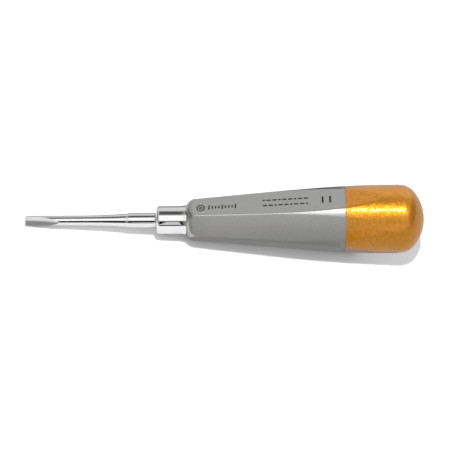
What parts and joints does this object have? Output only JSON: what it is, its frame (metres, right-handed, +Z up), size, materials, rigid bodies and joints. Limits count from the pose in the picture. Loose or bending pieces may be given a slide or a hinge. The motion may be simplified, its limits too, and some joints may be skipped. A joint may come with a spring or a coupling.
{
  "type": "dental elevator",
  "caption": "Straight dental elevator with a gouge blade, slim round shank, polished ferrule, hollow hexagonal handle and domed gold end cap.",
  "frame": {"origin": "centre of the bounding box in plan, in the plane of the handle flat that the elevator lies on", "axes": "+X along the elevator from blade to end cap, +Z up from the flat it lies on, +Y completes a right-handed frame; the scoop of the blade faces the flat between -Y and +Z"},
  "size_m": [0.1396, 0.024, 0.0245],
  "materials": {
    "polished_steel": "polished stainless steel",
    "mirror_steel": "mirror-polished stainless steel",
    "satin_steel": "satin, glass-bead-blasted stainless steel",
    "gold_coat": "gold-coloured metallic coating over bead-blasted stainless steel, fine sparkle",
    "plain_steel": "plain machined stainless steel",
    "seal_rubber": "black sealing rubber, matt"
  },
  "bodies": {
    "root": {"blade_shank": "polished_steel", "ferrule": "mirror_steel", "ferrule_pin": "plain_steel", "nose_seal": "seal_rubber", "handle_shell": "satin_steel", "tang_washer": "plain_steel", "lock_washer": "plain_steel", "tang_nut": "plain_steel", "joint_sleeve": "plain_steel", "cap_seal": "seal_rubber", "end_cap": "gold_coat"}
  },
  "joints": []
}
